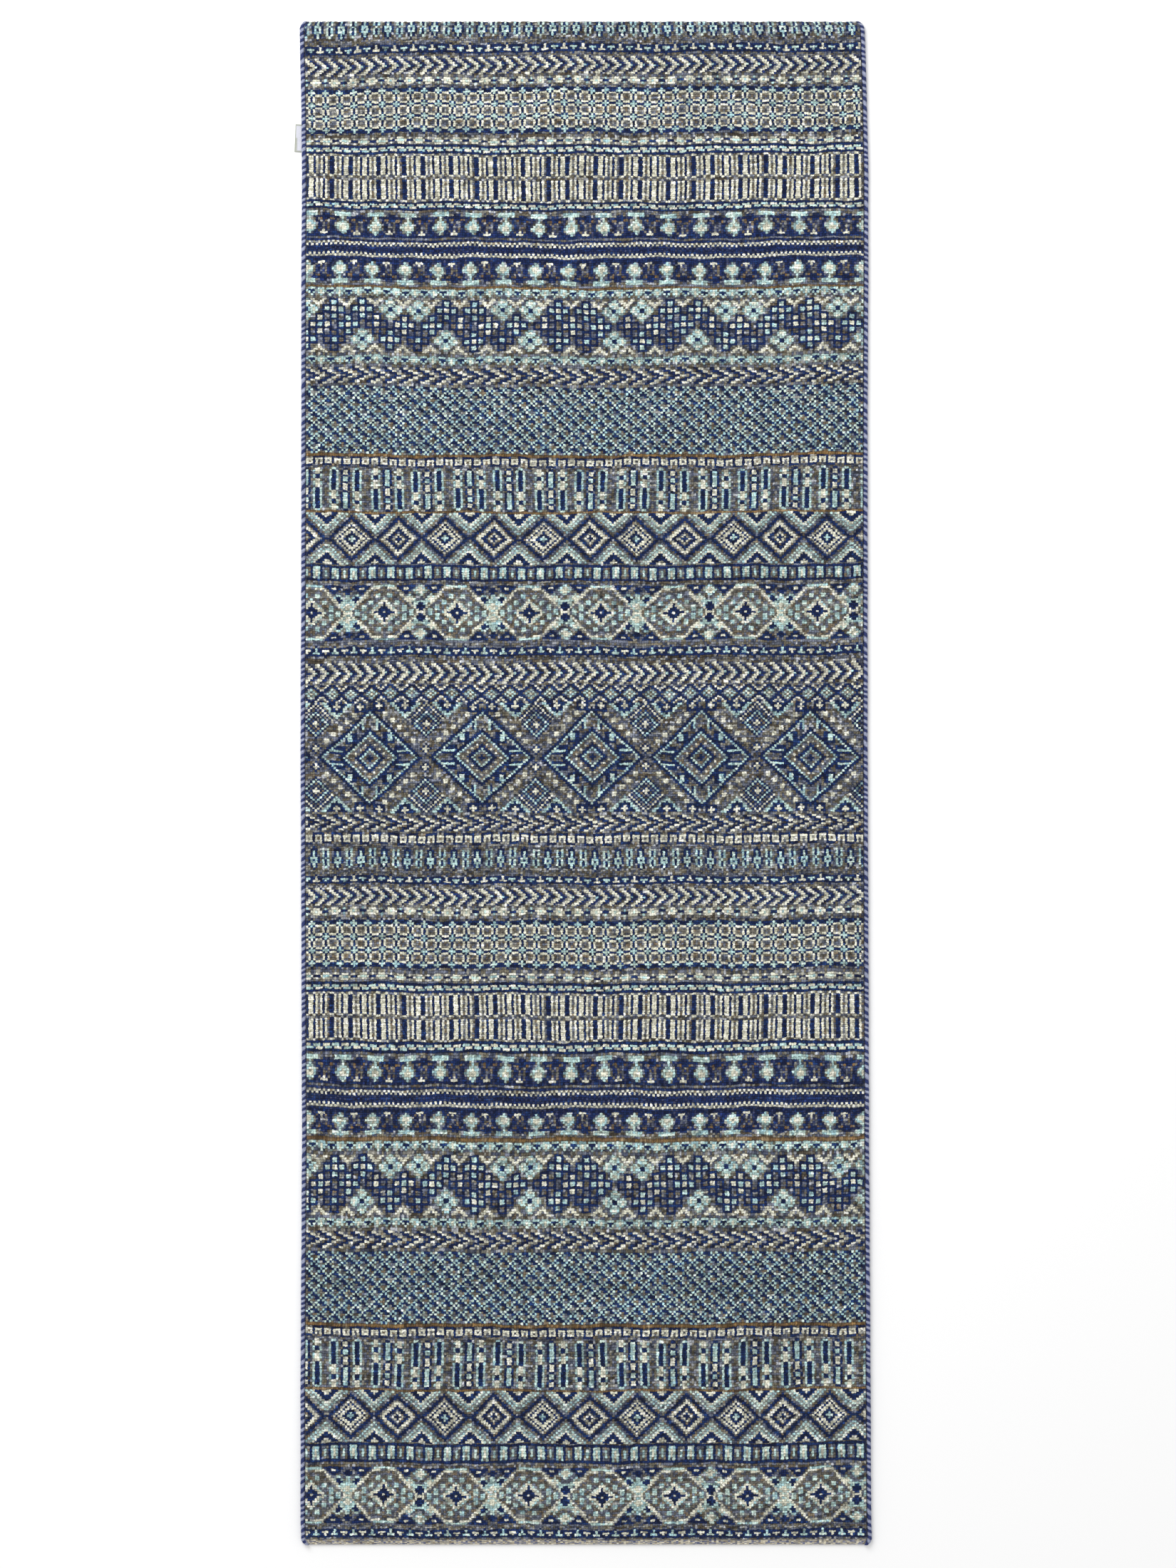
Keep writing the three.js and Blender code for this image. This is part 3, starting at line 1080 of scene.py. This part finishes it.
def overcastPiece(node, side, low, high, panel):
    rings = int((high - low) / (edge["ringStep"] * mm))
    piece = tubeFrom(node + "_yarn", (cordRadius + touchGap, edgeRadius), low, high,
                     (rings, edge["innerRings"]), edge["around"])
    y, angle, radius = tubePoints(piece)
    outer = radius > edgeRadius - 0.1 * mm
    y = np.where(outer, y, crowded(y, low, high, panel))
    phase = wrapPhase(y, angle, side)
    ridge = np.abs(np.sin(2 * math.pi * phase)) ** 0.6
    fuzz = edge["fuzz"] * mm * np.abs(draws.normal(size=len(y)))
    radius = np.where(outer, radius - edge["ridge"] * mm * (1 - ridge) - fuzz, radius)
    wobble = edge["wobble"] * mm * np.sin(y * 260 + side)
    realX, realY = laid(side * edgeX + radius * np.sin(angle) + wobble, y)
    place(piece, realX, realY, edgeZ + radius * np.cos(angle))
    index = loopVertices(piece.data)
    owner, totals = loopFaces(piece.data)
    dark = np.bincount(owner, np.sin(2 * math.pi * phase[index])) / totals > 0.05
    colours = np.where(dark[:, None], linear(edge["strands"][0]), linear(edge["strands"][1]))
    colours = colours * (1 + edge["mottle"] * draws.normal(size=len(dark)))[:, None]
    # painted shade in the grooves between wraps, lighter on their ridges
    paintedGrooveShade = 0.45 + 0.65 * ridge[index] ** 0.8
    paint(piece.data, colours[owner] * paintedGrooveShade[:, None])
    return finishEdge(piece, y, angle, wrapYarn, node, panel)


def cordPiece(node, side, low, high, panel):
    piece = tubeFrom(node + "_plied", (0, cordRadius), low, high, (edge["cordRings"], 0),
                     edge["cordAround"])
    y, angle, radius = tubePoints(piece)
    y = crowded(y, low, high, panel)
    lay = y / (edge["cordLay"] * mm) * 2 * math.pi
    radius = radius * (0.93 + 0.07 * np.sin(edge["plies"] * angle + lay))
    realX, realY = laid(side * edgeX + radius * np.sin(angle), y)
    place(piece, realX, realY, edgeZ + radius * np.cos(angle))
    shade = 1 + 0.08 * draws.normal(size=len(piece.data.loops))
    paint(piece.data, linear(edge["cordShade"])[None, :] * shade[:, None])
    return finishEdge(piece, y, angle, cordYarn, node, panel)


edgePieces = []
for sideName, side in (("left", -1), ("right", 1)):
    for panel in ("middle", "top", "bottom"):
        node = "overcasting_" + sideName + "_" + panel
        low = toFold(corner(node, 0)[1])
        high = toFold(corner(node, 1)[1])
        edgePieces.append((panel, overcastPiece(node, side, low, high, panel)))
        cordNode = "edge_cord_" + sideName + "_" + panel
        edgePieces.append((panel, cordPiece(cordNode, side, low, high, panel)))

print("hems and their stitching")

hem = {
    "across": 239,
    "shades": ["bcb4a0", "9c9890", "7e8090", "d3ccb8", "5c6280", "8f8474"],
    "parts": [5, 4, 4, 3, 2, 2],
    "mottle": 0.16,
    "thick": 1.3,
    "turnRadius": 1.6,
    "groove": 0.85,
    "relief": 0.10,
    "lipRise": 1.0,
    "lipPoints": 6,
    "stitchPitch": 8.0,
    "stitchSize": (5.6, 0.84, 0.52),
    "threadShade": "ded6c2",
}
hemLook = {
    "roughness": 0.93, "gloss": 0.12, "sheen": 0.08, "stretch": (0.3, 1, 1), "fibreScale": 1500.0,
    "fibreDepth": 0.25, "clumpScale": 500.0, "clumpDepth": 0.18, "wearScale": 8.0, "wearDepth": 0.08,
    "bump": 0.6, "bumpDepth": 0.35,
}
hemWeave = yarnMaterial("flatWovenHem", hemLook)
threadLook = dict(hemLook, stretch=(0.4, 1, 1), clumpDepth=0.1)
sewingThread = yarnMaterial("sewingThread", threadLook)
threadLow = corner("hem_stitching_top", 0)
threadHigh = corner("hem_stitching_top", 1)
stitchY = (threadLow[1] + threadHigh[1]) / 2
hemTopZ = corner("hem_top", 1)[2]


def hemPath():
    # the hem's outer face, from its sewn edge underneath, round the rug's end and up, in (y, z)
    deep = hem["groove"] * mm
    curve = hem["turnRadius"] * mm
    lip = hem["lipRise"] * mm
    end = rugEnd
    points = [(hemInner, 0.05 * mm), (hemInner + 1.6 * mm, 0.0)]
    points += [(stitchY - 0.9 * mm, 0.0), (stitchY - 0.6 * mm, deep)]
    points += [(stitchY + 0.6 * mm, deep), (stitchY + 0.9 * mm, 0.0)]
    points += [(stitchY + k * 2.4 * mm, 0.0) for k in range(1, 8)]
    for turn in np.arange(7) / 6 * math.pi / 2:
        points.append((end - curve + curve * math.sin(turn), curve - curve * math.cos(turn)))
    points += [(end - 0.05 * mm, 2.3 * mm), (end - 0.2 * mm, hemTopZ), (end - 0.6 * mm, hemTopZ + 0.6 * mm)]
    points += [(end - 1.4 * mm, hemTopZ + 0.9 * mm), (end - 2.6 * mm, hemTopZ + lip)]
    points += [(end - k * mm, hemTopZ + lip + 0.15 * k * mm) for k in (4, 5.5, 7, 8.5)]
    return np.array(points)


def offsetPath(points, thick):
    ahead = np.gradient(points, axis=0)
    ahead = ahead / np.linalg.norm(ahead, axis=1)[:, None]
    return points + thick * np.stack([-ahead[:, 1], ahead[:, 0]], 1)


def hemPiece(panel, side):
    node = "hem_" + panel
    outerPath = hemPath()
    if panel == "top":  # the pile curls over this hem, so it has no lip
        outerPath = outerPath[:-hem["lipPoints"]]
    innerPath = offsetPath(outerPath, hem["thick"] * mm)
    piece = latticeBlock(node + "_flatweave", hem["across"], len(outerPath) - 1)
    i, j, up = latticeSteps(piece)
    path = np.where(up[:, None], outerPath[j], innerPath[j])
    x = (i / hem["across"] - 0.5) * 2 * fieldHalf
    ribs = hem["relief"] * mm * (i % 2) * up
    z = np.maximum(path[:, 1] + ribs * (path[:, 1] < 2 * mm), 0)
    realX, realY = laid(x, side * path[:, 0])
    place(piece, realX, realY, z)
    turnOutwards(piece)
    owner, totals = loopFaces(piece.data)
    shades = sharedOut(draws.random(len(totals)), hem["shades"], hem["parts"])
    shades = shades * (1 + hem["mottle"] * draws.normal(size=len(totals)))[:, None]
    paint(piece.data, shades[owner])
    smooth(piece.data)
    index = loopVertices(piece.data)
    span = np.cumsum(np.r_[0, np.linalg.norm(np.diff(outerPath, axis=0), axis=1)])
    across = span[j[index]] / span[-1] * 0.5 + np.where(up[index], 0, 0.5)
    writeMap(piece, i[index] / hem["across"], across)
    piece.data.materials.append(hemWeave)
    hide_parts(node)
    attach(piece, panel + "_end")
    return piece


hems = {"top": hemPiece("top", 1), "bottom": hemPiece("bottom", -1)}


def stitchRow(name, start, step, count, size, turned):
    # separate stitches, each a small drawn-out ball of thread lying in the groove
    bm = bmesh.new()
    for k in range(count):
        ball = bmesh.ops.create_uvsphere(bm, u_segments=6, v_segments=5, radius=1)["verts"]
        jitter = draws.normal(size=3) * (0.15, 0.05, 0.02)
        bmesh.ops.rotate(bm, verts=ball, cent=(0, 0, 0), matrix=turned)
        bmesh.ops.scale(bm, verts=ball, vec=size)
        bmesh.ops.translate(bm, verts=ball, vec=np.array(start) + k * np.array(step) + jitter * mm)
    bmesh.ops.recalc_face_normals(bm, faces=bm.faces)
    piece = addObject(name, bm)
    shade = 1 + 0.06 * draws.normal(size=len(piece.data.loops))
    paint(piece.data, linear(hem["threadShade"])[None, :] * shade[:, None])
    smooth(piece.data)
    piece.data.materials.append(sewingThread)
    return piece


lengthwise = Matrix.Rotation(math.pi / 2, 3, "Y")
crosswise = Matrix.Rotation(math.pi / 2, 3, "X")
threadZ = (threadLow[2] + threadHigh[2]) / 2
stitches = {}
for panel, side in (("top", 1), ("bottom", -1)):
    node = "hem_stitching_" + panel
    pitch = hem["stitchPitch"] * mm
    count = int(2 * (fieldHalf - 4 * mm) / pitch)
    start = (-(count - 1) / 2 * pitch, side * stitchY, threadZ)
    size = np.array(hem["stitchSize"]) / 2 * mm
    row = stitchRow(node + "_thread", start, (pitch, 0, 0), count, size, lengthwise)
    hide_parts(node)
    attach(row, panel + "_end")
    stitches[panel] = row

print("label")

tape = {
    "layer": 0.42,
    "shade": "cbccd6",
    "edgeShade": "a1a499",
    "borderWidth": 2.2,
    "along": 48,
    "skewLength": 9.0,
    "skewOut": 1.6,
    "skewAlong": 0.6,
    "stitchPitch": 4.0,
    "stitchSize": (0.8, 2.8, 0.24),
}
labelLook = {
    "roughness": 0.5, "gloss": 0.35, "sheen": 0.1, "stretch": (1, 0.25, 1), "fibreScale": 2600.0,
    "fibreDepth": 0.07, "clumpScale": 800.0, "clumpDepth": 0.04, "wearScale": 40.0, "wearDepth": 0.05,
    "bump": 0.25, "bumpDepth": 0.12,
}
wovenTape = yarnMaterial("wovenTape", labelLook)
flapLow = corner("label_flap", 0)
flapHigh = corner("label_flap", 1)
labelJoint = [joint for joint in frame["joints"] if joint["name"] == "label_turn"][0]
hingeX = labelJoint["pos_m"][0]


def tapePath():
    # the tape's outer face: out along the floor, round the flap's edge, and back in over itself
    thick = flapHigh[2]
    inner = labelHigh[0]
    outer = flapLow[0] + thick / 2
    stops = [inner, inner - 3 * mm, inner - 6 * mm, inner - 10 * mm, hingeX + 1.2 * mm, hingeX + 0.8 * mm]
    stops += [hingeX + 0.5 * mm - k * 0.2 * mm for k in range(6)]
    stops += [hingeX - 1.2 * mm, hingeX - 3 * mm, hingeX - 5 * mm, hingeX - 7 * mm]
    low = [(x, 0.0) for x in stops if x > outer]
    bend = [(outer - thick / 2 * math.sin(a), thick / 2 - thick / 2 * math.cos(a))
            for a in np.linspace(0, math.pi, 9)]
    high = [(x, thick) for x in stops[::-1] if x > outer]
    return np.array(low + bend + high)


tapeOuter = tapePath()
tapeInner = offsetPath(tapeOuter, -tape["layer"] * mm)
label = latticeBlock("label_tape", tape["along"], len(tapeOuter) - 1)
i, j, up = latticeSteps(label)
path = np.where(up[:, None], tapeOuter[j], tapeInner[j])
x = path[:, 0]
z = np.clip(path[:, 1], 0, flapHigh[2])
share = i / tape["along"]
y = labelLow[1] + share * (labelHigh[1] - labelLow[1])
skew = np.clip((hingeX - x) / (tape["skewLength"] * mm), 0, 1)
x = x - skew * (0.5 - share) * tape["skewOut"] * mm
y = y + skew * tape["skewAlong"] * mm
place(label, x, y, z)
turnOutwards(label)
index = loopVertices(label.data)
fromEnd = (0.5 - np.abs(share[index] - 0.5)) * (labelHigh[1] - labelLow[1])
border = (fromEnd < tape["borderWidth"] * mm) | (x[index] < flapLow[0] + tape["borderWidth"] * mm)
tapeColour = np.where(border[:, None], linear(tape["edgeShade"]), linear(tape["shade"]))
ribbing = 1 + 0.05 * ((i[index] % 2) - 0.5)
paint(label.data, tapeColour * ribbing[:, None])
smooth(label.data)
writeMap(label, share[index], j[index] / (len(tapeOuter) - 1) * 0.5 + np.where(up[index], 0, 0.5))
label.data.materials.append(wovenTape)
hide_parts("label_tab", "label_flap")
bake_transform(label)

sewLow = corner("label_stitches", 0)
sewHigh = corner("label_stitches", 1)
sewPitch = tape["stitchPitch"] * mm
count = int((sewHigh[1] - sewLow[1]) / sewPitch)
sewStart = (sewLow + sewHigh) / 2 - (0, (count - 1) / 2 * sewPitch, 0)
sewSize = np.array(tape["stitchSize"]) / 2 * mm
labelStitches = stitchRow("label_stitches_thread", sewStart, (0, sewPitch, 0), count, sewSize, crosswise)
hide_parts("label_stitches")
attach(labelStitches, "top_end")

middleLength = 2 * foldY
endLength = rugEnd - foldY
pilesOf = {"middle": pilePieces[2:6], "top": pilePieces[:2], "bottom": pilePieces[6:]}
for panel, length in (("middle", middleLength), ("top", endLength), ("bottom", endLength)):
    parts = list(pilesOf[panel])
    parts += [piece for where, piece in edgePieces if where == panel]
    if panel != "middle":
        parts += [hems[panel], stitches[panel]]

print("finish")
